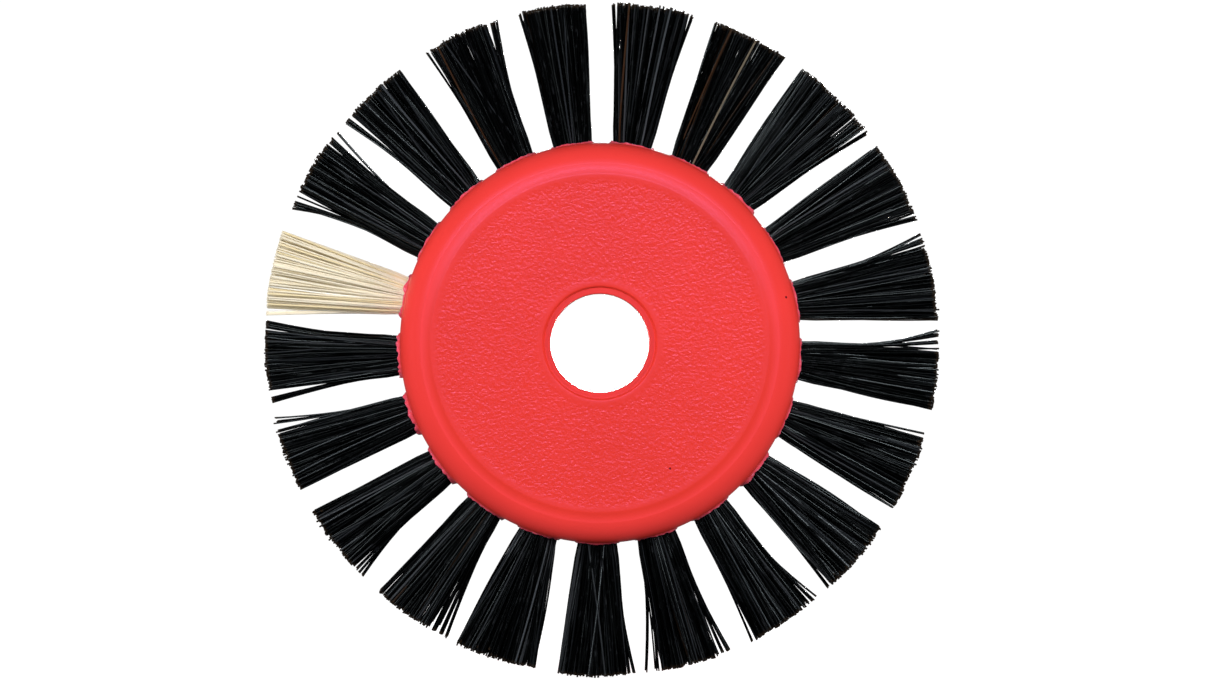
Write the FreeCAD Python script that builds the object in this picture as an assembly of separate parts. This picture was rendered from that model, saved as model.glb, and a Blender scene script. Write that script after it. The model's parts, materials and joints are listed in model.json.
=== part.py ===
import FreeCAD, Part
import math
import os

# Rotary brush wheel: a moulded plastic hub with a plain through bore, carrying one row of
# bristle tufts. Each tuft is folded in two round a flat metal anchor and driven with it into
# a blind radial hole in the rim. One tuft is of white bristle and marks the wheel.
#
# Frame: the wheel's axis is Y, the origin is the middle of the bore, the front face looks
# towards -Y and +Z is up. All sizes are in millimetres.

V = FreeCAD.Vector
os.makedirs("parts", exist_ok=True)

# Hub
HUB_RADIUS = 32.6  # the rim that the tufts stand on
HUB_HALF_WIDTH = 8.0  # from the middle plane to each flat face
BORE_RADIUS = 8.0  # slides on a 16 mm spindle
BORE_SLACK = 0.03  # radial clearance on that spindle
SEAT_RADIUS = 9.1  # shallow recess round each mouth of the bore
SEAT_DEPTH = 0.5
SEAT_EDGE_ROUND = 0.35
STEP_START = 27.35  # where the flat face ends and a soft step down begins
STEP_STEEPEST = 27.7
STEP_END = 29.2  # where the step runs out, level, and the rounded rim begins in a soft crease
STEP_TILT_DEG = 15.0  # of the step at its steepest
RIM_ROUND = 4.2

# Tufts
TUFT_COUNT = 21
WHITE_TUFT = 10  # counted anticlockwise from FIRST_TUFT_DEG, starting at 1
FIRST_TUFT_DEG = 12.1  # from +X towards +Z
HOLE_RADIUS = 3.3
HOLE_DEPTH = 7.6
LIP_HEIGHT = 0.55  # plastic pushed up round the mouth of each hole
LIP_TOP_RADIUS = 3.65
LIP_FOOT_RADIUS = 4.3
LIP_FOOT_DROP = 0.8  # the lip's foot starts this far inside the rim
TUFT_SLACK = 0.04  # between the folded bundle and the hole's wall
TRIM_RADIUS = 55.0  # all tips are trimmed to this circle
TIP_HALF_WIDTH = 6.1  # round the rim, at the trim circle
TIP_HALF_DEPTH = 5.2  # along the axis, at the trim circle

# Anchors: strips of flat wire that lie along the axis, across each hole
ANCHOR_LENGTH = 8.6
ANCHOR_HEIGHT = 2.2
ANCHOR_THICKNESS = 0.45

HOLE_BOTTOM = HUB_RADIUS - HOLE_DEPTH
PITCH_DEG = 360.0 / TUFT_COUNT
BUNDLE_RADIUS = HOLE_RADIUS - TUFT_SLACK
ANCHOR_BOTTOM = HOLE_BOTTOM + BUNDLE_RADIUS


def on_circle(centre, radius, angle):
    """The point of a circle at an angle in degrees."""
    angle = math.radians(angle)
    return centre + V(radius * math.cos(angle), radius * math.sin(angle), 0)


def arc(centre, radius, first, last):
    """The arc of a circle from the first to the last angle, in degrees."""
    angles = (first, (first + last) / 2.0, last)
    return Part.Arc(*[on_circle(centre, radius, angle) for angle in angles]).toShape()


def step_arcs():
    """The soft step at the end of the flat face: a short convex arc, then a long hollow one."""
    tilt = math.radians(STEP_TILT_DEG)
    convex_radius = (STEP_STEEPEST - STEP_START) / math.sin(tilt)
    hollow_radius = (STEP_END - STEP_STEEPEST) / math.sin(tilt)
    convex = V(STEP_START, HUB_HALF_WIDTH - convex_radius, 0)
    hollow = convex + V(math.sin(tilt), math.cos(tilt), 0) * (convex_radius + hollow_radius)
    return [arc(convex, convex_radius, 90.0, 90.0 - STEP_TILT_DEG),
            arc(hollow, hollow_radius, -90.0 - STEP_TILT_DEG, -90.0)]


def half_outline():
    """Edges of the hub's half section, in (distance from axis, height above middle plane)."""
    face = HUB_HALF_WIDTH
    seat = face - SEAT_DEPTH
    drop = (STEP_END - STEP_START) * math.tan(math.radians(STEP_TILT_DEG) / 2.0)
    seat_round = V(SEAT_RADIUS + SEAT_EDGE_ROUND, face - SEAT_EDGE_ROUND, 0)
    rim_round = V(HUB_RADIUS - RIM_ROUND, 0, 0)
    rim_start = math.acos((STEP_END - rim_round.x) / RIM_ROUND)
    rim_round.y = face - drop - RIM_ROUND * math.sin(rim_start)

    bore_middle = V(BORE_RADIUS + BORE_SLACK, 0, 0)
    bore_mouth = V(bore_middle.x, seat, 0)
    seat_corner = V(SEAT_RADIUS, seat, 0)
    seat_top = V(SEAT_RADIUS, seat_round.y, 0)
    face_start = V(seat_round.x, face, 0)
    face_end = V(STEP_START, face, 0)
    rim_top = V(HUB_RADIUS, rim_round.y, 0)
    rim_middle = V(HUB_RADIUS, 0, 0)
    return [
        Part.makeLine(bore_middle, bore_mouth),
        Part.makeLine(bore_mouth, seat_corner),
        Part.makeLine(seat_corner, seat_top),
        arc(seat_round, SEAT_EDGE_ROUND, 180.0, 90.0),
        Part.makeLine(face_start, face_end),
        *step_arcs(),
        arc(rim_round, RIM_ROUND, math.degrees(rim_start), 0.0),
        Part.makeLine(rim_top, rim_middle),
    ]


def hub_body():
    """The turned shape of the hub, before its holes."""
    upper = Part.Wire(half_outline())
    lower = upper.mirror(V(0, 0, 0), V(0, 1, 0))
    section = Part.Face(Part.Wire(Part.__sortEdges__(upper.Edges + lower.Edges)))
    return section.revolve(V(0, 0, 0), V(0, 1, 0), 360)


def at_tuft(shape, index):
    """A shape built on the +Z radius, turned about the axis to a tuft's place."""
    placed = shape.copy()
    placed.rotate(V(0, 0, 0), V(0, 1, 0), 90.0 - (FIRST_TUFT_DEG + (index - 1) * PITCH_DEG))
    return placed


def ellipse_wire(height, half_width, half_depth):
    """An ellipse across the radius: half_width along X, half_depth along Y."""
    wire = Part.Wire(Part.makeCircle(1.0, V(0, 0, 0), V(0, 0, 1)))
    stretch = FreeCAD.Matrix()
    stretch.scale(half_width, half_depth, 1.0)
    placed = wire.transformGeometry(stretch)
    placed.translate(V(0, 0, height))
    return Part.Wire(placed.Edges)


def anchor():
    """Flat strip across the hole, biting into the plastic at both ends."""
    corner = V(-ANCHOR_THICKNESS / 2.0, -ANCHOR_LENGTH / 2.0, ANCHOR_BOTTOM)
    return Part.makeBox(ANCHOR_THICKNESS, ANCHOR_LENGTH, ANCHOR_HEIGHT, corner)


def lip():
    """Raised collar round a hole's mouth."""
    foot = HUB_RADIUS - LIP_FOOT_DROP
    height = LIP_FOOT_DROP + LIP_HEIGHT
    return Part.makeCone(LIP_FOOT_RADIUS, LIP_TOP_RADIUS, height, V(0, 0, foot), V(0, 0, 1))


def hole():
    """Blind hole for one tuft, open at the rim."""
    depth = HOLE_DEPTH + 2.0 * LIP_HEIGHT
    return Part.makeCylinder(HOLE_RADIUS, depth, V(0, 0, HOLE_BOTTOM), V(0, 0, 1))


def tuft():
    """The folded bundle in its hole and its free, flaring length, trimmed to the circle."""
    mouth = HUB_RADIUS + LIP_HEIGHT
    fold_height = HOLE_BOTTOM + BUNDLE_RADIUS
    stem = Part.makeCylinder(BUNDLE_RADIUS, mouth - fold_height, V(0, 0, fold_height), V(0, 0, 1))
    below = Part.makeCylinder(BUNDLE_RADIUS, BUNDLE_RADIUS, V(0, 0, HOLE_BOTTOM), V(0, 0, 1))
    roll = Part.makeCylinder(BUNDLE_RADIUS, 2.0 * BUNDLE_RADIUS,
                             V(0, -BUNDLE_RADIUS, fold_height), V(0, 1, 0))
    flare = Part.makeLoft([ellipse_wire(mouth, BUNDLE_RADIUS, BUNDLE_RADIUS),
                           ellipse_wire(TRIM_RADIUS + 1.0, TIP_HALF_WIDTH, TIP_HALF_DEPTH)],
                          True, True)
    reach = Part.makeCylinder(TRIM_RADIUS, 4.0 * TIP_HALF_DEPTH,
                              V(0, -2.0 * TIP_HALF_DEPTH, 0), V(0, 1, 0))
    bundle = stem.fuse([below.common(roll), flare.common(reach)]).removeSplitter()
    return bundle.cut(anchor())


def one_solid(shape):
    """The only solid in a shape."""
    if len(shape.Solids) != 1 or not shape.isValid():
        raise RuntimeError("a piece of the brush isn't one valid solid")
    return shape.Solids[0]


def hub():
    """The hub with its lips, its blind holes and the slits that the anchors cut."""
    indices = range(1, TUFT_COUNT + 1)
    body = hub_body().fuse([at_tuft(lip(), index) for index in indices])
    cuts = [at_tuft(hole(), index) for index in indices]
    cuts += [at_tuft(anchor(), index) for index in indices]
    return body.cut(cuts)


one_solid(hub()).exportStep("parts/hub.step")
tuft_shape = one_solid(tuft())
anchor_shape = one_solid(anchor())
for number in range(1, TUFT_COUNT + 1):
    colour = "white" if number == WHITE_TUFT else "black"
    at_tuft(tuft_shape, number).exportStep(f"parts/{colour}_tuft_{number:02d}.step")
    at_tuft(anchor_shape, number).exportStep(f"parts/tuft_anchor_{number:02d}.step")
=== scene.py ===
"""Looks of the rotary brush wheel: a moulded red hub, 21 tufts of folded bristle and a studio.

The wheel's axis is Y and its front face looks towards -Y. Lengths are in millimetres up to the
point where a mesh is made, and in metres in Blender.
"""

import json
import math
from typing import NamedTuple

import bpy
import numpy as np
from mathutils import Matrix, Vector, noise


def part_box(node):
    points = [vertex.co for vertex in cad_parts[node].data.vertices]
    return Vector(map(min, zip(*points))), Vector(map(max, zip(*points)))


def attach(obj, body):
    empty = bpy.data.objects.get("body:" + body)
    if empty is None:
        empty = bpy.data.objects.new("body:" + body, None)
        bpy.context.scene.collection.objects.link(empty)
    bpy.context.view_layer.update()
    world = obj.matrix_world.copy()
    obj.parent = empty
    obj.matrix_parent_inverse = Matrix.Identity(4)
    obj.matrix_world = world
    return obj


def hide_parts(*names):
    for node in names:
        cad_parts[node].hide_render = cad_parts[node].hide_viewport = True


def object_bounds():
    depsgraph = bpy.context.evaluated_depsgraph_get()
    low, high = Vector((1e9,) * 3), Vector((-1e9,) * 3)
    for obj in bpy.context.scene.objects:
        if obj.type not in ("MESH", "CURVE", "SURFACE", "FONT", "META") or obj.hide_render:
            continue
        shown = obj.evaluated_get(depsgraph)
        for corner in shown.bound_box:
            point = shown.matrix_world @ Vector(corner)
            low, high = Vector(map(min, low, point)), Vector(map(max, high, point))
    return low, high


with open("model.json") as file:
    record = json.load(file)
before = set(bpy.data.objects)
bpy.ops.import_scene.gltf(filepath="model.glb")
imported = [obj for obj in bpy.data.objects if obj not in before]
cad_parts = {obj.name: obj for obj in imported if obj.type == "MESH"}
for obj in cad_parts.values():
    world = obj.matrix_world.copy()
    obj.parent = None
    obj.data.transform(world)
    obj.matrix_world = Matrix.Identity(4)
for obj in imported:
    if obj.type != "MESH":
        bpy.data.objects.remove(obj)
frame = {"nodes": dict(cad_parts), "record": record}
cad_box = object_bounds()

MM = 0.001
SEED = 871
TUFT_COUNT = 21
PITCH = 2.0 * math.pi / TUFT_COUNT
WHITE_TUFT = 10

mounts = {mount["name"]: mount for mount in frame["record"]["mounts"]}
BORE_RADIUS = mounts["bore"]["dims"]["r_mm"]
BORE_HALF_LENGTH = mounts["bore"]["dims"]["length_mm"] / 2.0
FACE_HEIGHT = abs(mounts["front_face"]["pos_m"][1]) / MM
TRIM_RADIUS = cad_box[1].x / MM
first_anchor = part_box("tuft_anchor_01")
FIRST_TUFT = math.atan2(first_anchor[0].z + first_anchor[1].z, first_anchor[0].x + first_anchor[1].x)

# Hub, as turned
SEAT_RADIUS = 9.1
SEAT_EDGE_ROUND = 0.35
BORE_EDGE_ROUND = 0.06
STEP_START = 27.35  # where the flat face ends and a soft step down begins
STEP_STEEPEST = 27.7
STEP_END = 29.2  # where the step runs out, level, and the rounded rim begins in a soft crease
STEP_TILT = math.radians(15.0)  # at its steepest
CREASE_WIDTH = 0.06  # on each side of the crease, between close rings that keep it crisp
STEP_DROP = (STEP_END - STEP_START) * math.tan(STEP_TILT / 2.0)
RIM_RADIUS = 32.6
RIM_ROUND = 4.2
RIM_START = math.acos((STEP_END - RIM_RADIUS + RIM_ROUND) / RIM_ROUND)
RIM_EDGE = FACE_HEIGHT - STEP_DROP - RIM_ROUND * math.sin(RIM_START)  # top of its straight part

# Holes and tufts
HOLE_RADIUS = 3.3
HOLE_DEPTH = 7.6
HOLE_BOTTOM = RIM_RADIUS - HOLE_DEPTH
BUNDLE_RADIUS = 3.08  # to the middle of the outermost bristle
ROOT_SPREAD = 1.045  # how much the bundle widens as it leaves the hole
ANCHOR_TOP = 30.5
FOLD_AT = HOLE_BOTTOM + HOLE_RADIUS - 0.04  # where the legs turn into the fold
MOUTH_LEVEL = RIM_RADIUS + 0.2  # where the legs come free
TRIM_SHIFT = (0.3, 0.6)  # the trim circle's centre, along X and Z
TIP_DEPTH = 4.9  # half the tips' spread along the axis


class Bristle(NamedTuple):
    """How one kind of bristle is packed and how it wanders; lengths in millimetres."""

    radius: float
    step: float  # between the middles of neighbours in the hole
    pull: float  # of each tip towards the middle of its clump, as a share
    scatter: float  # of the tips, as a share of half the tuft
    crossing: float  # share of the legs that cross the others
    bow: float  # of each leg, as half a wave along it
    wave: float  # of each leg, as a whole wave along it
    clump_cut: float  # how unevenly the clumps are trimmed
    cut: float  # how unevenly the tips of a clump are trimmed
    short: float  # share of the tips that are well short


BLACK = Bristle(radius=0.165, step=0.335, pull=0.26, scatter=0.045, crossing=0.05, bow=0.13,
                wave=0.05, clump_cut=0.13, cut=0.15, short=0.04)
WHITE = Bristle(radius=0.155, step=0.245, pull=0.06, scatter=0.03, crossing=0.01, bow=0.05,
                wave=0.02, clump_cut=0.05, cut=0.06, short=0.01)

# Of each tuft: where its tips end clockwise and anticlockwise of its middle, and the strands
# that stand apart there, from the outermost inwards, each as (place of the tips, spread of the
# tips, bristles, share of the free length where the gap begins).
TUFT_SHAPES = {
    1: (-7.9, 4.6, [(6.4, 0.2, 3, 0.85), (5.3, 0.8, 8, 0.88)]),
    2: (-6.6, 5.9, [(-7.4, 0.7, 6, 0.86)]),
    3: (-7.1, 6.9, [(-7.9, 0.3, 3, 0.80)]),
    4: (-6.2, 6.4, []),
    5: (-5.6, 6.1, [(6.8, 0.3, 3, 0.84), (-6.2, 0.3, 3, 0.86)]),
    6: (-5.1, 5.2, [(5.7, 0.2, 3, 0.84)]),
    7: (-5.2, 4.9, [(-6.9, 0.2, 2, 0.70), (-6.2, 0.6, 6, 0.82), (5.6, 0.2, 2, 0.86)]),
    8: (-5.6, 5.2, [(6.3, 0.8, 8, 0.78)]),
    9: (-5.1, 4.0, [(-7.6, 0.15, 2, 0.62), (-6.0, 0.9, 8, 0.88), (6.8, 0.1, 2, 0.88),
                    (6.0, 0.8, 9, 0.68), (4.7, 0.0, 1, 0.82)]),
    10: (-5.5, 7.2, [(8.1, 0.5, 6, 0.46)]),
    11: (-5.2, 4.4, [(-6.4, 1.1, 11, 0.88), (6.0, 0.8, 8, 0.58)]),
    12: (-5.3, 5.1, [(-7.3, 0.1, 2, 0.68), (-6.6, 0.2, 3, 0.72)]),
    13: (-7.0, 4.3, [(6.2, 0.3, 4, 0.84), (5.5, 0.2, 3, 0.80), (4.8, 0.3, 4, 0.84)]),
    14: (-6.2, 4.6, [(7.0, 0.25, 7, 0.3), (6.0, 0.5, 11, 0.3), (4.8, 0.5, 12, 0.6)]),
    15: (-7.2, 6.2, []),
    16: (-6.2, 5.0, [(6.3, 0.3, 4, 0.82), (5.5, 0.3, 4, 0.86)]),
    17: (-5.3, 4.3, [(-7.9, 0.1, 2, 0.54), (-6.1, 0.5, 4, 0.82), (6.0, 0.5, 6, 0.58),
                     (5.0, 0.3, 4, 0.78)]),
    18: (-5.5, 4.5, [(-6.2, 0.2, 3, 0.80), (6.6, 0.1, 2, 0.82), (5.8, 0.4, 5, 0.78),
                     (4.9, 0.3, 4, 0.76)]),
    19: (-6.5, 5.8, [(-7.2, 0.3, 3, 0.84)]),
    20: (-6.9, 5.6, [(6.3, 0.1, 2, 0.58)]),
    21: (-6.1, 4.0, [(6.9, 0.1, 2, 0.82), (6.2, 0.4, 4, 0.72), (5.0, 0.4, 5, 0.70)]),
}
# Bristles that show in the front layer, each as (place of the root, place of the tip, colour)
FRONT_BRISTLES = {
    1: [(-1.9, -6.4, "grey_and_sheen"), (1.2, 0.6, "grey_and_sheen")],
    2: [(1.6, 2.4, "silver_and_sheen")],
    4: [(-0.6, -0.8, "tan"), (2.4, 3.6, "brown")],
    5: [(2.2, 4.2, "brown"), (-1.6, -2.6, "silver_and_sheen")],
    7: [(-2.2, 2.4, "grey_and_sheen"), (2.4, 3.6, "brown")],
    8: [(-1.0, -1.7, "silver_and_sheen"), (0.3, 2.3, "grey_and_sheen"), (1.4, -0.8, "grey_and_sheen")],
    11: [(-2.5, -1.7, "grey_and_sheen"), (-1.8, -5.4, "grey_and_sheen")],
    13: [(1.6, -1.8, "grey_and_sheen")],
    15: [(-1.2, -4.6, "grey_and_sheen"), (2.0, 2.9, "silver_and_sheen")],
    16: [(-1.4, 1.6, "grey_and_sheen"), (1.0, -1.2, "grey_and_sheen")],
}
# The two bluish lighter colours are partly real hair colour and partly painted highlight lines along the
# bristles.
STRAND_COLOURS = {
    "black": (0.0010, 0.0011, 0.0013),
    "grey_and_sheen": (0.018, 0.020, 0.023),
    "silver_and_sheen": (0.050, 0.056, 0.064),
    "brown": (0.040, 0.019, 0.010),
    "tan": (0.160, 0.130, 0.095),
}
# How much of each tuft's bristle is glossy, where it isn't 1
TUFT_SHINE = {1: 1.4, 5: 0.8, 6: 1.3, 7: 2.3, 8: 1.2, 9: 0.8, 12: 0.6, 13: 0.45, 14: 0.3, 15: 0.6,
              17: 0.7, 18: 1.1, 21: 2.0}
# How high the plastic stands round each tuft's root, where it isn't 1
LIP_SIZES = {2: 0.7, 3: 1.2, 6: 0.8, 10: 1.3, 11: 1.9, 12: 1.9, 13: 1.8, 14: 1.2, 16: 0.7, 19: 1.6}


def node_tuft(index):
    """Name of a tuft's CAD node."""
    colour = "white" if index == WHITE_TUFT else "black"
    return f"{colour}_tuft_{index:02d}"


def tuft_angle(index):
    """Angle of a tuft's middle, from +X towards +Z."""
    return FIRST_TUFT + (index - 1) * PITCH


def smooth(value):
    """0 below 0, 1 above 1, and an even rise between them."""
    value = np.clip(value, 0.0, 1.0)
    return value * value * (3.0 - 2.0 * value)


# ---------------------------------------------------------------- materials


def new_material(name):
    """A material, with its node tree and its Principled shader."""
    material = bpy.data.materials.new(name)
    material.use_nodes = True
    return material, material.node_tree, material.node_tree.nodes["Principled BSDF"]


def add(tree, kind, values=None, **settings):
    """Adds a node, with settings on the node and values on its inputs."""
    node = tree.nodes.new(kind)
    for key, value in settings.items():
        setattr(node, key, value)
    for key, value in (values or {}).items():
        node.inputs[key].default_value = value
    return node


def attribute(tree, name):
    """A node that reads one of the attributes that new_piece stores."""
    return add(tree, "ShaderNodeAttribute", attribute_name=name)


def mix_colour(tree, factor, first, second):
    """Mixes two colours; each argument is a socket or a plain value."""
    node = add(tree, "ShaderNodeMix", data_type="RGBA")
    for key, value in ((0, factor), (6, first), (7, second)):
        if isinstance(value, bpy.types.NodeSocket):
            tree.links.new(value, node.inputs[key])
        else:
            node.inputs[key].default_value = value
    return node.outputs[2]


def math_node(tree, operation, first, second):
    """Result of an operation; each argument is a socket or a plain value."""
    node = add(tree, "ShaderNodeMath", operation=operation)
    for key, value in enumerate((first, second)):
        if isinstance(value, bpy.types.NodeSocket):
            tree.links.new(value, node.inputs[key])
        else:
            node.inputs[key].default_value = value
    return node.outputs[0]


def map_range(tree, value, low, high, to_low, to_high):
    """Takes a value from one range to another, clamped to it."""
    node = add(tree, "ShaderNodeMapRange",
               {"From Min": low, "From Max": high, "To Min": to_low, "To Max": to_high})
    tree.links.new(value, node.inputs["Value"])
    return node.outputs["Result"]


def noise_node(tree, vector, scale, detail=3.0, roughness=0.55):
    """Noise from about 0 to 1, with scale features to the metre on an object's coordinates."""
    node = add(tree, "ShaderNodeTexNoise",
               {"Scale": scale, "Detail": detail, "Roughness": roughness})
    tree.links.new(vector, node.inputs["Vector"])
    return node.outputs["Fac"]


def bump(tree, shader, height, strength, distance):
    """Adds a bump of that depth, in metres, to a shader."""
    node = add(tree, "ShaderNodeBump", {"Strength": strength, "Distance": distance})
    tree.links.new(height, node.inputs["Height"])
    tree.links.new(node.outputs["Normal"], shader.inputs["Normal"])


GRAIN_BUMP = 0.000095  # metres
GRAIN_SCALE = 2300.0
# Between these radii the face's darker tone, partly painted shade, turns into the rim's lighter one, partly
# painted light.
TONE_START = STEP_END - 1.4  # the colour of the face turns into that of the rim from here
TONE_END = STEP_END - 0.2


def distance_from_axis(tree, place):
    """Distance of a place from the wheel's axis, in metres."""
    off_axis = add(tree, "ShaderNodeVectorMath", operation="MULTIPLY")
    off_axis.inputs[1].default_value = (1.0, 0.0, 1.0)
    tree.links.new(place, off_axis.inputs[0])
    length = add(tree, "ShaderNodeVectorMath", operation="LENGTH")
    tree.links.new(off_axis.outputs[0], length.inputs[0])
    return length.outputs["Value"]


def plastic_colour(tree, place, fine, lip, hollow):
    """Face tone below the rim's, partly real and partly painted shade of the grain and painted light on the
    smooth rim; pinker and flecked on the lips; painted shade down the holes; a few dark dots.
    """
    broad = map_range(tree, noise_node(tree, place, 60.0, 2.0), 0.35, 0.65, 0.0, 1.0)
    # Painted light and shade: the rim's lighter tone and the face's darker one are partly a real difference
    # in finish, partly painted light on the smooth rim and painted shade of the face's grain.
    rim_tone_and_light = mix_colour(tree, broad, (0.88, 0.049, 0.040, 1.0), (0.93, 0.052, 0.043, 1.0))
    face_tone_and_shade = mix_colour(tree, broad, (0.80, 0.041, 0.026, 1.0), (0.85, 0.044, 0.028, 1.0))
    reach = distance_from_axis(tree, place)
    rim_share = map_range(tree, reach, TONE_START * MM, TONE_END * MM, 0.0, 1.0)
    colour = mix_colour(tree, rim_share, face_tone_and_shade, rim_tone_and_light)
    pink = math_node(tree, "MULTIPLY", lip, map_range(tree, fine, 0.3, 0.6, 0.45, 1.0))
    colour = mix_colour(tree, pink, colour, (0.88, 0.12, 0.21, 1.0))
    flecks = math_node(tree, "MULTIPLY", lip, map_range(tree, fine, 0.58, 0.68, 0.0, 0.7))
    colour = mix_colour(tree, flecks, colour, (0.82, 0.44, 0.56, 1.0))
    # Painted shade: dark red down the holes, where shade falls among the bristle roots.
    colour = mix_colour(tree, hollow, colour, (0.25, 0.008, 0.010, 1.0))
    cells = add(tree, "ShaderNodeTexVoronoi", {"Scale": 75.0, "Randomness": 1.0})
    tree.links.new(place, cells.inputs["Vector"])
    dots = math_node(tree, "LESS_THAN", cells.outputs["Distance"], 0.016)
    return mix_colour(tree, dots, colour, (0.10, 0.005, 0.008, 1.0))


def red_plastic():
    """Grained red plastic, pinker where it is drawn thin round the tufts."""
    material, tree, shader = new_material("red_plastic")
    place = add(tree, "ShaderNodeTexCoord").outputs["Object"]
    grain = attribute(tree, "grain").outputs["Fac"]
    lip = attribute(tree, "lip").outputs["Fac"]
    hollow = attribute(tree, "hollow").outputs["Fac"]
    fine = noise_node(tree, place, 2900.0)
    tree.links.new(plastic_colour(tree, place, fine, lip, hollow), shader.inputs["Base Color"])

    rough = math_node(tree, "ADD", map_range(tree, fine, 0.3, 0.7, 0.30, 0.42),
                      math_node(tree, "MULTIPLY", grain, -0.07))
    tree.links.new(rough, shader.inputs["Roughness"])
    stretched = add(tree, "ShaderNodeMapping", {"Scale": (0.8, 1.0, 1.0)})
    tree.links.new(place, stretched.inputs["Vector"])
    domes = noise_node(tree, stretched.outputs["Vector"], GRAIN_SCALE, 1.0, 0.5)
    grained = math_node(tree, "ADD", math_node(tree, "MULTIPLY", grain, 0.93), 0.07)
    bump(tree, shader, math_node(tree, "MULTIPLY", domes, grained), 1.0, GRAIN_BUMP)
    shader.inputs["Specular IOR Level"].default_value = 0.32
    shader.inputs["Specular Tint"].default_value = (1.0, 0.45, 1.0, 1.0)
    return material


PATCHES_PER_MM = 0.35
TIP_SHARE = 0.02  # of a leg's length that has the colour of the cut


def bristle_material(name, patch_and_sheen_colour, tip_colour, roughness, level, glow):
    """Natural bristle. Each strand has its own tint and gloss, patches and a cut tip. On black bristle the
    patches are painted highlight dashes; on pale bristle they are real yellow streaks.

    The glow stands for the light that passes through pale bristle from its white surroundings.
    """
    material, tree, shader = new_material(name)
    tint = attribute(tree, "tint").outputs["Color"]
    strand = attribute(tree, "strand").outputs["Vector"]
    split = add(tree, "ShaderNodeSeparateXYZ")
    tree.links.new(strand, split.inputs[0])
    seed, along, share = split.outputs

    along_strand = add(tree, "ShaderNodeCombineXYZ")
    tree.links.new(seed, along_strand.inputs[0])
    tree.links.new(math_node(tree, "MULTIPLY", along, PATCHES_PER_MM), along_strand.inputs[1])
    patches = noise_node(tree, along_strand.outputs[0], 1.0, 3.0, 0.6)
    place = add(tree, "ShaderNodeTexCoord").outputs["Object"]
    scales = noise_node(tree, place, 6000.0, 2.0)

    # Painted highlight: on black bristle the patch colour is a cool light dash standing for glints along the
    # strand; on pale bristle it is a real yellow streak.
    patched = mix_colour(tree, map_range(tree, patches, 0.56, 0.80, 0.0, 0.6), tint, patch_and_sheen_colour)
    tip = map_range(tree, share, 1.0 - TIP_SHARE, 1.0, 0.0, 0.8)
    tree.links.new(mix_colour(tree, tip, patched, tip_colour), shader.inputs["Base Color"])
    rough = math_node(tree, "ADD", map_range(tree, patches, 0.3, 0.7, roughness, roughness + 0.15),
                      map_range(tree, scales, 0.3, 0.7, -0.04, 0.04))
    tree.links.new(rough, shader.inputs["Roughness"])
    bump(tree, shader, scales, 0.25, 0.00002)
    shine = attribute(tree, "shine").outputs["Fac"]
    tree.links.new(map_range(tree, shine, 0.0, 1.0, level * 0.2, level * 4.5),
                   shader.inputs["Specular IOR Level"])
    shader.inputs["Specular Tint"].default_value = (0.82, 0.95, 1.0, 1.0)
    tree.links.new(patched, shader.inputs["Emission Color"])
    shader.inputs["Emission Strength"].default_value = glow
    return material


def anchor_metal():
    """Dull flattened wire, with drawing lines along it."""
    material, tree, shader = new_material("anchor_wire")
    place = add(tree, "ShaderNodeTexCoord").outputs["Object"]
    stretched = add(tree, "ShaderNodeMapping", {"Scale": (1.0, 0.05, 1.0)})
    tree.links.new(place, stretched.inputs["Vector"])
    lines = noise_node(tree, stretched.outputs["Vector"], 9000.0, 3.0)
    tree.links.new(mix_colour(tree, lines, (0.42, 0.41, 0.39, 1.0), (0.70, 0.68, 0.65, 1.0)),
                   shader.inputs["Base Color"])
    tree.links.new(map_range(tree, lines, 0.3, 0.7, 0.28, 0.5), shader.inputs["Roughness"])
    bump(tree, shader, lines, 0.3, 0.00001)
    shader.inputs["Metallic"].default_value = 1.0
    return material


def floor_material():
    """Plain pale matt floor that fades out into the white of the studio.

    It glows by itself, because the dim world gives it less light than a white studio would.
    """
    material, tree, shader = new_material("pale_floor")
    place = add(tree, "ShaderNodeTexCoord").outputs["Object"]
    cloud = noise_node(tree, place, 6.0, 2.0)
    tree.links.new(mix_colour(tree, cloud, (0.92, 0.92, 0.92, 1.0), (0.94, 0.94, 0.94, 1.0)),
                   shader.inputs["Base Color"])
    shader.inputs["Roughness"].default_value = 0.9
    shader.inputs["Specular IOR Level"].default_value = 0.0
    shader.inputs["Emission Color"].default_value = (1.0, 1.0, 1.0, 1.0)
    shader.inputs["Emission Strength"].default_value = 0.90
    distance = add(tree, "ShaderNodeVectorMath", operation="LENGTH")
    tree.links.new(place, distance.inputs[0])
    edge = map_range(tree, distance.outputs["Value"], 0.14, 0.42, 1.0, 0.0)
    tree.links.new(edge, shader.inputs["Alpha"])
    return material


# ---------------------------------------------------------------- meshes


def new_piece(name, points, faces, material, attributes=None, flat=None):
    """An object from points in millimetres, with smooth faces except those in flat."""
    mesh = bpy.data.meshes.new(name)
    mesh.from_pydata((np.asarray(points) * MM).tolist(), [], faces)
    for key, (kind, values) in (attributes or {}).items():
        layer = mesh.attributes.new(key, kind, "POINT")
        field = {"FLOAT": "value", "FLOAT_VECTOR": "vector", "FLOAT_COLOR": "color"}[kind]
        layer.data.foreach_set(field, np.asarray(values, np.float32).ravel())
    shading = np.ones(len(mesh.polygons), bool)
    if flat is not None:
        shading[flat] = False
    mesh.polygons.foreach_set("use_smooth", shading)
    mesh.materials.append(material)
    mesh.update()
    piece = bpy.data.objects.new(name, mesh)
    bpy.context.scene.collection.objects.link(piece)
    return piece


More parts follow.
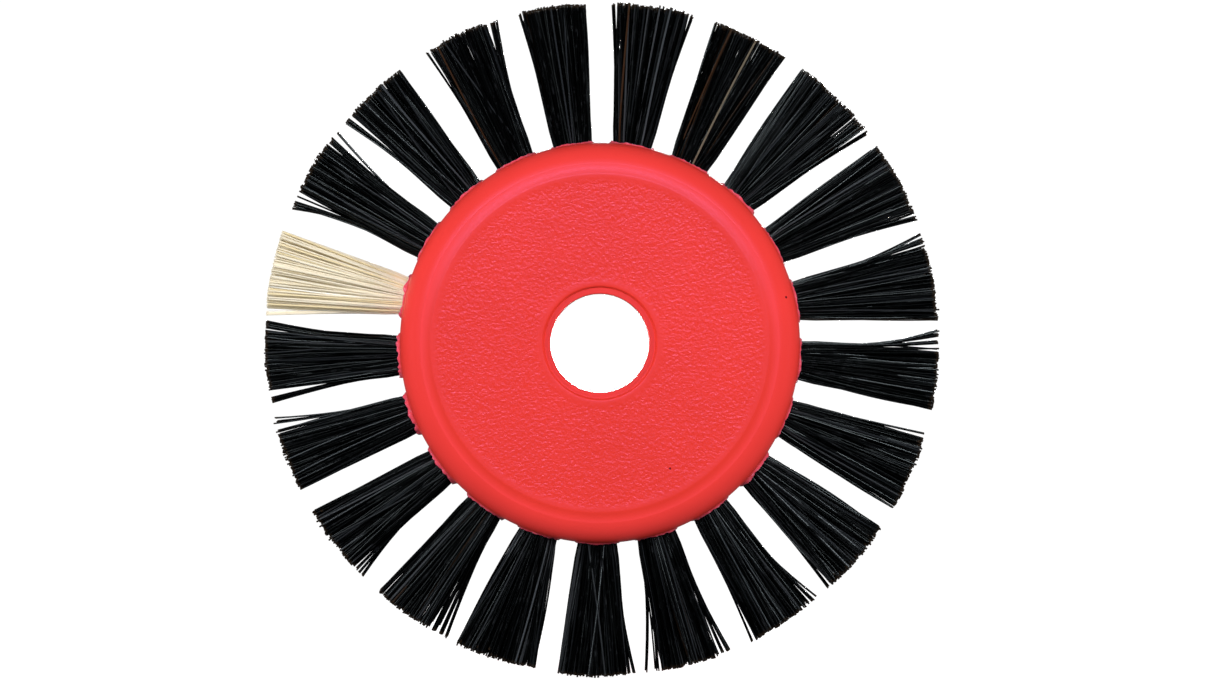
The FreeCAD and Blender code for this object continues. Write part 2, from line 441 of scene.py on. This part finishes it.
class HubMesh:
    """Points and faces of the hub, with the attributes that its material reads."""

    def __init__(self):
        self.points = []
        self.faces = []
        self.grain = []
        self.lip = []
        self.hollow = []
        self.shared = {}

    def point(self, place, grain=0.0, lip=0.0, hollow=0.0):
        """Index of a point; points that round to the same micrometre are one."""
        key = tuple(round(value * 1000.0) for value in place)
        if key not in self.shared:
            self.shared[key] = len(self.points)
            self.points.append(tuple(place))
            self.grain.append(grain)
            self.lip.append(lip)
            self.hollow.append(hollow)
        return self.shared[key]

    def ring(self, radius, height, count, grain=0.0, rough=0.0):
        """A ring of points about the axis, which starts at the border between two tufts.

        On a rough ring the points are lifted off the face by the grain, at most by that much.
        """
        start = FIRST_TUFT - PITCH / 2.0
        found = []
        for step in range(count):
            angle = start + 2.0 * math.pi * step / count
            x, z = radius * math.cos(angle), radius * math.sin(angle)
            lift = rough * grain_height(x, z, math.copysign(1.0, height)) if rough else 0.0
            found.append(self.point((x, height + math.copysign(lift, height), z), grain))
        return found

    def band(self, inner, outer, flip):
        """Faces between two rings; the outer may have a multiple of the inner's points."""
        count, many = len(inner), len(outer) // len(inner)
        for step in range(count):
            following = (step + 1) % count
            far = [outer[(step * many + extra) % len(outer)] for extra in range(many + 1)]
            face = [inner[step], *far, inner[following]]
            self.faces.append(face[::-1] if flip else face)


def grain_height(x, z, side):
    """Height of the moulded leather-like grain at a place on a face, from -1 to 1."""
    place = Vector((x, 7.0 * side, z))  # far apart for the two faces, so that they differ
    pebbles = 1.0 - 2.0 * abs(noise.noise(place * 1.15))
    return 0.6 * pebbles + 0.4 * noise.noise(place * 2.9)


def arc_points(centre, radius, start, end, steps):
    """Points on the short arc of a circle, after start and up to end."""
    first = math.atan2(start.y - centre.y, start.x - centre.x)
    last = math.atan2(end.y - centre.y, end.x - centre.x)
    turn = (last - first + math.pi) % (2.0 * math.pi) - math.pi
    angles = [first + turn * step / steps for step in range(1, steps + 1)]
    return [Vector((centre.x + radius * math.cos(a), centre.y + radius * math.sin(a))) for a in angles]


def edge_outline():
    """The half section from the end of the flat face, down the soft step, to the rim."""
    convex_radius = (STEP_STEEPEST - STEP_START) / math.sin(STEP_TILT)
    hollow_radius = (STEP_END - STEP_STEEPEST) / math.sin(STEP_TILT)
    slope = Vector((math.sin(STEP_TILT), math.cos(STEP_TILT)))
    convex = Vector((STEP_START, FACE_HEIGHT - convex_radius))
    hollow = convex + slope * (convex_radius + hollow_radius)
    rim_round = Vector((RIM_RADIUS - RIM_ROUND, RIM_EDGE))
    face_end = Vector((STEP_START, FACE_HEIGHT))
    steepest = convex + slope * convex_radius
    crease = Vector((STEP_END, FACE_HEIGHT - STEP_DROP))
    before = crease - Vector((CREASE_WIDTH, 0.0))
    turn = RIM_START - CREASE_WIDTH / RIM_ROUND
    after = rim_round + Vector((math.cos(turn), math.sin(turn))) * RIM_ROUND
    rim_top = Vector((RIM_RADIUS, RIM_EDGE))
    return [face_end, *arc_points(convex, convex_radius, face_end, steepest, 3),
            *arc_points(hollow, hollow_radius, steepest, before, 5), crease, after,
            *arc_points(rim_round, RIM_ROUND, after, rim_top, 11)]


CELL_STEPS = 24  # along the stretch of rim that belongs to one tuft
FINE_COUNT = CELL_STEPS * TUFT_COUNT  # points round the outer rings
COARSE_COUNT = FINE_COUNT // 2
SPLIT_RADIUS = 13.5  # the rings have twice the points outside this radius
FACE_STEP = 0.40  # between the rings on the grained face
GRAIN_DEPTH = 0.007
GRAIN_FADE_IN = 1.6  # the grain grows to its depth over this width
GRAIN_FADE_OUT = 1.4
CORNER_WIDTH = 0.1  # of close rings on both sides of a corner, which keep it crisp


def bore_outline():
    """The half section from the middle of the bore, over the recess, to the flat face."""
    mouth = Vector((BORE_RADIUS + BORE_EDGE_ROUND, BORE_HALF_LENGTH - BORE_EDGE_ROUND))
    edge = Vector((SEAT_RADIUS + SEAT_EDGE_ROUND, FACE_HEIGHT - SEAT_EDGE_ROUND))
    wall = [Vector((BORE_RADIUS, height)) for height in (0.0, BORE_HALF_LENGTH * 0.5, mouth.y)]
    mouth_end = Vector((mouth.x, BORE_HALF_LENGTH))
    seat = [mouth_end + Vector((CORNER_WIDTH, 0.0))]
    seat += [Vector((SEAT_RADIUS - share * CORNER_WIDTH, BORE_HALF_LENGTH)) for share in (2.0, 1.0)]
    seat += [Vector((SEAT_RADIUS, BORE_HALF_LENGTH + CORNER_WIDTH)), Vector((SEAT_RADIUS, edge.y))]
    face_start = Vector((edge.x, FACE_HEIGHT))
    return [*wall, *arc_points(mouth, BORE_EDGE_ROUND, wall[-1], mouth_end, 3), *seat,
            *arc_points(edge, SEAT_EDGE_ROUND, seat[-1], face_start, 5)]


def add_side(hub, side):
    """One face of the hub, from the middle of the bore out to the rim."""
    inside = bore_outline()
    outside = edge_outline()
    rings = [hub.ring(p.x, side * p.y, COARSE_COUNT) for p in inside]
    start, end = inside[-1].x, outside[0].x
    steps = round((end - start) / FACE_STEP)
    for step in range(1, steps):
        radius = start + (end - start) * step / steps
        fade = smooth((radius - start) / GRAIN_FADE_IN) * smooth((end - radius) / GRAIN_FADE_OUT)
        fade = float(fade)
        count = COARSE_COUNT if radius < SPLIT_RADIUS else FINE_COUNT
        rings.append(hub.ring(radius, side * FACE_HEIGHT, count, fade, GRAIN_DEPTH * fade))
    rings += [hub.ring(p.x, side * p.y, FINE_COUNT) for p in outside]
    for inner, outer in zip(rings, rings[1:]):
        hub.band(inner, outer, flip=side < 0)


def lip_profile(index, angle):
    """Section of a hole and its lip at an angle about it: (radius, height, lip, hollow), where hollow is the
    share of painted shade down the hole.
    """
    size = LIP_SIZES.get(index, 1.0)
    ray = Vector((math.cos(angle), math.sin(angle), 0.0))
    wave = noise.noise(1.3 * ray + Vector((0.0, 0.0, 5.1 * index)))
    burr = noise.noise(5.0 * ray + Vector((0.0, 0.0, 9.7 * index)))
    height = (0.30 + 0.26 * wave + 0.18 * burr) * size
    height = min(max(height, 0.05), 0.85)
    lean = 0.12 * burr * size
    width = 0.75 + 0.25 * wave
    # Distance out from the hole's wall, height, share of lip, share of hollow (painted shade down the hole)
    section = [
        (0.0, -HOLE_DEPTH + 0.6, 0.0, 1.0),
        (0.0, -2.5, 0.0, 1.0),
        (0.0, -0.7, 0.3, 0.6),
        (0.01, height * 0.4, 1.0, 0.0),
        (0.03 + lean, height * 0.85, 1.0, 0.0),
        (0.10 + lean, height, 1.0, 0.0),
        (0.20 + lean, height * 0.92, 1.0, 0.0),
        (0.36 + 0.5 * lean, height * 0.55, 0.75, 0.0),
        (0.60 * width, height * 0.20, 0.35, 0.0),
        (width, 0.0, 0.0, 0.0),
    ]
    return [(HOLE_RADIUS + away, rise, lip, hollow) for away, rise, lip, hollow in section]


def cell_border():
    """Places round the edge of a tuft's stretch of rim, each from -1 to 1 along and across."""
    shares = [-1.0 + 2.0 * step / CELL_STEPS for step in range(CELL_STEPS)]
    there = [(share, -1.0) for share in shares] + [(1.0, share) for share in shares]
    return there + [(-share, 1.0) for share in shares] + [(-1.0, -share) for share in shares]


def add_rim_cell(hub, index):
    """The stretch of the rim round one tuft, with its blind hole and the lip at its mouth."""
    middle = tuft_angle(index)
    out = Vector((math.cos(middle), 0.0, math.sin(middle)))
    across = Vector((-math.sin(middle), 0.0, math.cos(middle)))
    axle = Vector((0.0, 1.0, 0.0))

    def place(aside, height, rise):
        level = math.sqrt(RIM_RADIUS**2 - aside**2) + rise
        return out * level + across * aside + axle * height

    loops = []
    for turn, height_share in cell_border():
        edge = Vector((RIM_RADIUS * math.sin(turn * PITCH / 2.0), height_share * RIM_EDGE))
        angle = math.atan2(edge.y, edge.x)
        ray = Vector((math.cos(angle), math.sin(angle)))
        loop = []
        for radius, rise, lip, hollow in lip_profile(index, angle):
            loop.append(hub.point(place(*(ray * radius), rise), 0.0, lip, hollow))
        foot = ray * radius
        for share in (0.5, 1.0):
            loop.append(hub.point(place(*(foot + (edge - foot) * share), 0.0)))
        loops.append(loop)
    # The hole's floor takes the full painted shade.
    floor = hub.point(out * HOLE_BOTTOM, 0.0, 0.0, 1.0)
    for first, second in zip(loops, loops[1:] + loops[:1]):
        for step in range(len(first) - 1):
            hub.faces.append([first[step + 1], second[step + 1], second[step], first[step]])
        hub.faces.append([first[0], second[0], floor])


def make_hub(material):
    """The hub as one mesh."""
    hub = HubMesh()
    for side in (-1, 1):
        add_side(hub, side)
    for index in range(1, TUFT_COUNT + 1):
        add_rim_cell(hub, index)
    return new_piece("red_hub", hub.points, hub.faces, material, {
        "grain": ("FLOAT", hub.grain),
        "lip": ("FLOAT", hub.lip),
        # hollow: share of painted shade down the holes
        "hollow": ("FLOAT", hub.hollow),
    })


# ---------------------------------------------------------------- bristles


SIDES = 6  # of each bristle's tube
FREE_RINGS = 10  # evenly along the free length of a leg, before the one at its tip
LAST_RING = 0.985  # share of the free length; so close to the tip, it keeps the cut flat
ANCHOR_CLEARANCE = 0.40  # from the hole's middle plane to the nearest bristle, inside
MOUTH_CLEARANCE = 0.16  # the same at the mouth, past the anchor
CLUMPS = 26  # of tips, in each tuft
PARTING_START = 0.6  # a strand starts to part at this share of the length below its gap
PARTING_CURVE = 1.35  # above 1, it leaves the others slowly at first
PATCH_OFFSET = 50.0  # keeps the patches of one strand apart from those of the next


def packed_half_disc(rng, pitch):
    """Places for one leg of each folded bristle, on one side of the anchor."""
    rows = math.ceil(BUNDLE_RADIUS / (pitch * math.sqrt(3.0) / 2.0))
    columns = math.ceil(BUNDLE_RADIUS / pitch)
    found = []
    for row in range(-rows, rows + 1):
        q = row * pitch * math.sqrt(3.0) / 2.0
        for column in range(columns):
            p = ANCHOR_CLEARANCE + (column + 0.5 * (row % 2)) * pitch
            if math.hypot(p, q) <= BUNDLE_RADIUS:
                found.append((p, q))
    places = np.array(found)
    return places + rng.uniform(-0.012, 0.012, places.shape)


def tip_places(mouth, index, rng, bristle):
    """Where the tips go, round the rim and along the axis, and how much each is cut short."""
    low, high, _ = TUFT_SHAPES[index]
    unit = mouth / BUNDLE_RADIUS
    # The round bundle spreads into a fan with fuller corners
    fan = np.stack([unit[:, 0] / np.sqrt(1.0 - 0.6 * unit[:, 1]**2), unit[:, 1]], 1)

    # Tips gather in clumps and scatter a little
    clumps = np.stack([rng.uniform(-1.0, 1.0, CLUMPS), rng.uniform(-0.95, 0.95, CLUMPS)], 1)
    nearest = ((fan[:, None] - clumps[None])**2).sum(2).argmin(1)
    fan += (clumps[nearest] - fan) * bristle.pull
    fan += rng.normal(0.0, bristle.scatter, fan.shape)
    # The two halves mix where they meet, the fan ripples, and some legs cross the others
    near_anchor = np.abs(mouth[:, 0]) < 0.9
    fan[near_anchor, 0] += rng.normal(0.0, 0.12, near_anchor.sum())
    fan[:, 0] += 0.07 * np.sin(6.0 * fan[:, 1] + rng.uniform(0.0, 2.0 * math.pi))
    crossing = rng.random(len(fan)) < bristle.crossing
    fan[crossing, 0] += rng.uniform(-0.5, 0.5, crossing.sum())

    # All but a few outliers are spread evenly over the tuft's width
    edges = np.percentile(fan[:, 0], [2.0, 98.0])
    across = np.interp(fan[:, 0], edges, [low + 0.1, high - 0.1])
    across += rng.normal(0.0, 0.05, len(across))
    along = np.clip(TIP_DEPTH * fan[:, 1], -TIP_DEPTH, TIP_DEPTH)
    cut = rng.normal(0.0, bristle.clump_cut, len(clumps))[nearest]
    cut -= np.abs(rng.normal(0.0, bristle.cut, len(across)))
    short = rng.random(len(across)) < bristle.short
    cut[short] -= rng.uniform(0.2, 1.2, short.sum())
    return np.stack([across, along], 1), cut


def set_strands_apart(line, mouth, share, index, rng):
    """Moves the outermost legs on a side into the strands that stand apart there; gives them."""
    low, high, strands = TUFT_SHAPES[index]
    taken = np.zeros(len(mouth), bool)
    for place, width, number, gap_start in strands:
        side = math.copysign(1.0, place)
        edge = high if side > 0 else low
        from_outside = np.where(taken, np.inf, -side * mouth[:, 0])
        chosen = np.argsort(from_outside)[:number]
        taken[chosen] = True
        root = mouth[chosen, :, None] * ROOT_SPREAD
        aside = np.linspace(-width / 2.0, width / 2.0, number)[rng.permutation(number)][:, None]
        with_body = root[:, 0] + (edge + aside - root[:, 0]) * share
        parting = gap_start * PARTING_START
        away = np.clip((share - parting) / (1.0 - parting), 0.0, 1.0)**PARTING_CURVE
        line[chosen, 0] = with_body + (place - edge) * away
        line[chosen, 0] += rng.normal(0.0, 0.05, (number, 1)) * np.sin(math.pi * share)
        depth = rng.uniform(-0.9, 0.9, number)[:, None] + 0.3 * root[:, 1]
        line[chosen, 1] = root[:, 1] + (depth - root[:, 1]) * share
        line[chosen, :, 0] = mouth[chosen]
    return [int(number) for number in np.flatnonzero(taken)]


def bring_to_front(line, mouth, share, index):
    """Leads some bristles through the front layer; gives their numbers and colours."""
    found = []
    for root_place, tip_place, colour in FRONT_BRISTLES.get(index, []):
        root = np.array([root_place, -math.sqrt(BUNDLE_RADIUS**2 - root_place**2)])
        distance = np.linalg.norm(mouth - root, axis=1)
        distance[[number for number, _ in found]] = np.inf
        chosen = int(distance.argmin())
        start = mouth[chosen, :, None] * ROOT_SPREAD
        tip = np.array([tip_place, -TIP_DEPTH - 0.2])[:, None]
        line[chosen] = start + (tip - start) * share
        line[chosen, 0] += 0.15 * np.sin(math.pi * share[0])
        line[chosen, :, 0] = mouth[chosen]
        found.append((chosen, STRAND_COLOURS[colour]))
    return found


def leg_paths(inside, mouth, index, rng, bristle):
    """Paths of the legs from the fold to the tips, in tuft axes (out, round the rim, axis).

    Gives the colours of some legs too, each as (number of the leg, colour).
    """
    count = len(mouth)
    tips, cut = tip_places(mouth, index, rng, bristle)
    share = np.append(np.linspace(0.0, LAST_RING, FREE_RINGS), 1.0)[None, :]
    root = mouth[:, :, None] * ROOT_SPREAD
    line = root + (tips[:, :, None] - root) * share[:, None, :]
    bow = rng.normal(0.0, bristle.bow, (count, 2, 1))
    wave = rng.normal(0.0, bristle.wave, (count, 2, 1))
    phase = rng.uniform(0.0, 2.0 * math.pi, (count, 1))
    line += bow * np.sin(math.pi * share)[:, None, :]
    line += wave * (np.sin(2.0 * math.pi * share + phase) - np.sin(phase) * (1.0 - share))[:, None, :]
    line[:, :, 0] = mouth
    apart = set_strands_apart(line, mouth, share, index, rng)
    coloured = [(number, STRAND_COLOURS["black"]) for number in apart if bristle is BLACK]
    coloured += bring_to_front(line, mouth, share, index)

    angle = tuft_angle(index)
    shift_out = TRIM_SHIFT[0] * math.cos(angle) + TRIM_SHIFT[1] * math.sin(angle)
    shift_across = TRIM_SHIFT[1] * math.cos(angle) - TRIM_SHIFT[0] * math.sin(angle)
    reach = np.sqrt(TRIM_RADIUS**2 - (line[:, 0, -1] - shift_across)**2) + shift_out + cut
    out = MOUTH_LEVEL + (reach[:, None] - MOUTH_LEVEL) * share
    free_part = np.stack([out, line[:, 0], line[:, 1]], 2)
    held = np.empty((count, 2, 3))
    held[:, :, 0] = [FOLD_AT, ANCHOR_TOP]
    held[:, :, 1:] = inside[:, None, :]
    return np.concatenate([held, free_part], 1), coloured


def tubes(paths, radii, seeds, tints, shine):
    """Capped tubes along paths: points, faces, which faces are flat, and attributes."""
    count, rings, _ = paths.shape
    ahead = np.gradient(paths, axis=1)
    ahead /= np.linalg.norm(ahead, axis=2, keepdims=True)
    axle = np.zeros_like(paths)
    axle[:, :, 2] = 1.0
    first = axle - ahead * (axle * ahead).sum(2, keepdims=True)
    first /= np.linalg.norm(first, axis=2, keepdims=True)
    second = np.cross(ahead, first)
    turn = (2.0 * math.pi * np.arange(SIDES) / SIDES)[None, None, :, None]
    wall = radii[:, :, None, None] * (first[:, :, None] * np.cos(turn) + second[:, :, None] * np.sin(turn))
    points = (paths[:, :, None] + wall).reshape(-1, 3)

    ring = np.arange(SIDES)
    base = (np.arange(count) * rings * SIDES)[:, None, None] + (np.arange(rings - 1) * SIDES)[None, :, None]
    low, low_next = base + ring, base + (ring + 1) % SIDES
    quads = np.stack([low, low_next, low_next + SIDES, low + SIDES], 3).reshape(-1, 4)
    starts = (np.arange(count) * rings * SIDES)[:, None]
    caps = np.concatenate([starts + ring[::-1], starts + (rings - 1) * SIDES + ring])
    faces = quads.tolist() + caps.tolist()
    flat = np.arange(len(quads), len(faces))  # the caps

    step = np.linalg.norm(np.diff(paths, axis=1), axis=2)
    length = np.concatenate([np.zeros((count, 1)), np.cumsum(step, 1)], 1)
    from_middle = np.abs(length / length[:, -1:] * 2.0 - 1.0)
    strand = np.stack([np.broadcast_to(seeds[:, None] * PATCH_OFFSET, length.shape), length, from_middle], 2)
    strand = np.repeat(strand.reshape(-1, 3), SIDES, 0)
    return points, faces, flat, {
        "strand": ("FLOAT_VECTOR", strand),
        "tint": ("FLOAT_COLOR", np.repeat(tints.reshape(-1, 4), SIDES, 0)),
        "shine": ("FLOAT", np.repeat(shine, rings * SIDES)),
    }


def bristle_tints(count, rng, bristle):
    """A colour for each bristle: mostly black, some brown, grey or silver, or ivory shades; the bluish grey
    and silver ones are partly real hair colour and partly painted highlight lines.
    """
    shade = rng.random((count, 1))
    kind = rng.random((count, 1))
    if bristle is WHITE:
        ivory = np.array([0.96, 0.88, 0.70]) * (0.94 + 0.08 * shade)
        yellow = np.array([0.92, 0.79, 0.50]) * (0.90 + 0.12 * shade)
        pale = np.array([0.98, 0.96, 0.90]) * (0.96 + 0.04 * shade)
        tint = np.where(kind < 0.22, yellow, ivory)
        tint = np.where(kind > 0.84, pale, tint)
    else:
        tint = np.array([0.0006, 0.0007, 0.0008]) * (0.4 + 1.6 * shade)
        # Painted highlight: the two bluish lighter kinds stand partly for real pale hairs, partly for
        # highlight lines along the strands.
        grey_and_sheen = np.array([0.008, 0.0092, 0.0108]) * (0.3 + 2.2 * shade**2)
        silver_and_sheen = np.array([0.034, 0.037, 0.042]) * (0.5 + shade)
        brown = np.array([0.020, 0.010, 0.005]) * (0.6 + shade)
        tint = np.where(kind < 0.30, grey_and_sheen, tint)
        tint = np.where(kind < 0.07, silver_and_sheen, tint)
        tint = np.where(kind > 0.99, brown, tint)
    return np.concatenate([np.clip(tint, 0.0, 1.0), np.ones((count, 1))], 1)


def both_legs(places, rng):
    """Places of all legs inside the hole and at its mouth, where they close up past the anchor."""
    widening = (BUNDLE_RADIUS - MOUTH_CLEARANCE) / (BUNDLE_RADIUS - places[:, 0].min())
    squeezed = (places[:, 0] - places[:, 0].min()) * widening + MOUTH_CLEARANCE
    inside, mouth = [], []
    for side in (1.0, -1.0):
        inside.append(places * np.array([side, 1.0]))
        closed_up = np.stack([side * squeezed, places[:, 1]], 1)
        mouth.append(closed_up + rng.uniform(-0.03, 0.03, places.shape))
    return np.concatenate(inside), np.concatenate(mouth)


def fold_paths(places):
    """Half circles under the anchor, which join the two legs of each bristle."""
    turn = np.linspace(0.0, math.pi, 6)[1:-1]
    return np.stack([
        FOLD_AT - places[:, :1] * np.sin(turn)[None],
        places[:, :1] * np.cos(turn)[None],
        np.broadcast_to(places[:, 1:], (len(places), len(turn))),
    ], 2)


def make_tuft(index, material):
    """One tuft: bristles folded in two round the anchor, fanned out and trimmed."""
    rng = np.random.default_rng(SEED + index)
    bristle = WHITE if index == WHITE_TUFT else BLACK
    places = packed_half_disc(rng, bristle.step)
    count = len(places)
    inside, mouth = both_legs(places, rng)
    legs, coloured = leg_paths(inside, mouth, index, rng, bristle)
    whole = np.concatenate([legs[:count, ::-1], fold_paths(places), legs[count:]], 1)
    rings = whole.shape[1]
    radii = np.repeat(bristle.radius * rng.uniform(0.86, 1.08, (count, 1)), rings, 1)
    tints = np.repeat(bristle_tints(count, rng, bristle)[:, None], rings, 1)
    for number, colour in coloured:
        leg = slice(rings // 2) if number < count else slice(rings // 2, None)
        tints[number % count, leg, :3] = colour
    shine = rng.random(count)**4 * TUFT_SHINE.get(index, 1.0)
    points, faces, caps, attributes = tubes(whole, radii, rng.random(count), tints, shine)
    angle = tuft_angle(index)
    out = np.array([math.cos(angle), 0.0, math.sin(angle)])
    across = np.array([-math.sin(angle), 0.0, math.cos(angle)])
    axle = np.array([0.0, 1.0, 0.0])
    name = node_tuft(index).replace("tuft", "bristles")
    return new_piece(name, points @ np.stack([out, across, axle]), faces, material, attributes, caps)


# ---------------------------------------------------------------- the wheel

hub = make_hub(red_plastic())
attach(hub, "root")
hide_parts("hub")

# The black bristle's patch colour is a painted highlight.
black_material = bristle_material(
    "black_bristle", patch_and_sheen_colour=(0.030, 0.033, 0.038, 1.0), tip_colour=(0.035, 0.022, 0.013, 1.0),
    roughness=0.09, level=0.22, glow=0.0)
white_material = bristle_material(
    "white_bristle", patch_and_sheen_colour=(0.86, 0.74, 0.46, 1.0), tip_colour=(0.82, 0.74, 0.58, 1.0),
    roughness=0.42, level=0.25, glow=0.038)
for number in range(1, TUFT_COUNT + 1):
    is_white = number == WHITE_TUFT
    tuft = make_tuft(number, white_material if is_white else black_material)
    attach(tuft, "root")
    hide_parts(node_tuft(number))

metal = anchor_metal()
for number in range(1, TUFT_COUNT + 1):
    anchor = frame["nodes"][f"tuft_anchor_{number:02d}"]
    anchor.data.materials.clear()
    anchor.data.materials.append(metal)

# ---------------------------------------------------------------- the studio


FLOOR_GAP = 0.15  # between the lowest bristle and the floor


def make_floor():
    """A pale disc that the wheel stands on."""
    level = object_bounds()[0].z / MM - FLOOR_GAP
    points = [(0.0, 0.0, level)]
    spokes, reaches = 64, (120.0, 250.0, 450.0)
    for reach in reaches:
        for spoke in range(spokes):
            angle = 2.0 * math.pi * spoke / spokes
            points.append((reach * math.cos(angle), reach * math.sin(angle), level))
    faces = [[0, 1 + spoke, 1 + (spoke + 1) % spokes] for spoke in range(spokes)]
    for ring in range(len(reaches) - 1):
        for spoke in range(spokes):
            near = 1 + ring * spokes + spoke
            near_next = 1 + ring * spokes + (spoke + 1) % spokes
            faces.append([near, near + spokes, near_next + spokes, near_next])
    return new_piece("floor", points, faces, floor_material())


def soft_light(name, place, width, height, power, mirrored=True):
    """An area light that faces the wheel; it isn't seen itself, nor in gloss if not mirrored."""
    data = bpy.data.lights.new(name, "AREA")
    data.shape = "RECTANGLE"
    data.size = width
    data.size_y = height
    data.energy = power
    light = bpy.data.objects.new(name, data)
    light.location = place
    light.rotation_mode = "QUATERNION"
    light.rotation_quaternion = (-Vector(place)).to_track_quat("-Z", "Y")
    light.visible_camera = False
    light.visible_glossy = mirrored
    bpy.context.scene.collection.objects.link(light)


def make_world():
    """White to the eye, and a dimmer even light on the wheel."""
    world = bpy.data.worlds.new("studio")
    world.use_nodes = True
    tree = world.node_tree
    tree.nodes.clear()
    dim = add(tree, "ShaderNodeBackground", {"Color": (1.0, 1.0, 1.0, 1.0), "Strength": 0.13})
    seen = add(tree, "ShaderNodeBackground", {"Color": (1.0, 1.0, 1.0, 1.0), "Strength": 1.05})
    path = add(tree, "ShaderNodeLightPath")
    both = add(tree, "ShaderNodeMixShader")
    out = add(tree, "ShaderNodeOutputWorld")
    tree.links.new(path.outputs["Is Camera Ray"], both.inputs[0])
    tree.links.new(dim.outputs[0], both.inputs[1])
    tree.links.new(seen.outputs[0], both.inputs[2])
    tree.links.new(both.outputs[0], out.inputs["Surface"])
    bpy.context.scene.world = world


def make_camera():
    """Square on to the front face, with a long lens."""
    data = bpy.data.cameras.new("camera")
    data.sensor_width = 36.0
    data.lens = 200.0
    seen_width = 0.1968  # across the frame, in the plane where the rim's rounding starts
    rim_plane = -RIM_EDGE * MM
    camera = bpy.data.objects.new("camera", data)
    camera.location = (0.00067, rim_plane - seen_width * data.lens / data.sensor_width, 0.00049)
    camera.rotation_euler = (math.pi / 2.0, 0.0, 0.0)
    data.clip_start, data.clip_end = 0.05, 20.0
    bpy.context.scene.collection.objects.link(camera)
    bpy.context.scene.camera = camera


floor = make_floor()
floor.visible_diffuse = False  # its glow doesn't light the wheel
floor.visible_glossy = False
soft_light("key", (-0.04, -1.26, 0.42), 1.3, 0.26, 12.5)
soft_light("left", (-1.32, -0.48, 0.04), 0.5, 0.5, 9.3, False)
soft_light("right", (1.32, -0.48, 0.04), 0.5, 0.5, 9.3, False)
soft_light("back", (0.05, 1.50, 0.12), 0.3, 0.3, 18.0)
make_world()
make_camera()
bpy.context.scene.view_settings.view_transform = "Standard"
